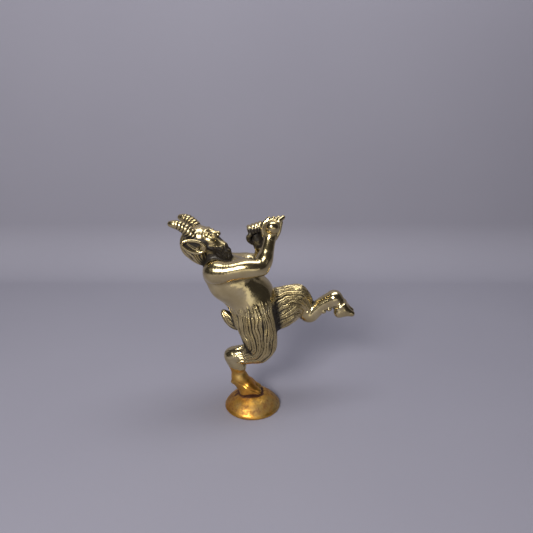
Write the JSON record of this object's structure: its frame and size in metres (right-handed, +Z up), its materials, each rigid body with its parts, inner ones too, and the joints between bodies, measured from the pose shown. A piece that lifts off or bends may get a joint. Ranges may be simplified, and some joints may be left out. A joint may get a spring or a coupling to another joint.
{
  "type": "hood ornament",
  "caption": "Small cast-brass dancing satyr on a round domed foot: goat legs, horns and tail, one leg kicked forward, both hands raised, tapped underneath for a cap screw.",
  "frame": {"origin": "centre of the round foot's underside", "axes": "+Z up, +X the way the figure dances and kicks, +Y to the figure's left"},
  "size_m": [0.102, 0.0384, 0.1147],
  "materials": {
    "lacquered_brass": "orange-gold lacquer over brass, mottled, satin",
    "fur_brass": "polished high spots over dark brown patina in the cut grooves",
    "polished_brass": "bright hand-polished brass, slightly aged",
    "pin_brass": "drawn brass rod, plain"
  },
  "bodies": {
    "root": {"base_dome": "lacquered_brass", "lower_leg": "lacquered_brass", "standing_shank": "polished_brass", "standing_thigh": "fur_brass", "hips": "fur_brass", "kicking_thigh": "fur_brass", "kicking_shank": "polished_brass", "kicking_hoof": "polished_brass", "tail": "fur_brass", "torso": "polished_brass", "arm_right": "polished_brass", "arm_left": "polished_brass", "hand_right": "polished_brass", "hand_left": "polished_brass", "head": "fur_brass", "horn_right": "fur_brass", "horn_left": "fur_brass", "ear_right": "polished_brass", "ear_left": "polished_brass", "foot_pins": "pin_brass", "hock_pin": "pin_brass", "knee_pin": "pin_brass", "hip_pins": "pin_brass", "waist_pins": "pin_brass", "shank_pin": "pin_brass", "pastern_pin": "pin_brass", "tail_pin": "pin_brass", "shoulder_pins": "pin_brass", "wrist_pins": "pin_brass", "neck_pin": "pin_brass", "horn_pins": "pin_brass", "ear_pins": "pin_brass"}
  },
  "joints": []
}
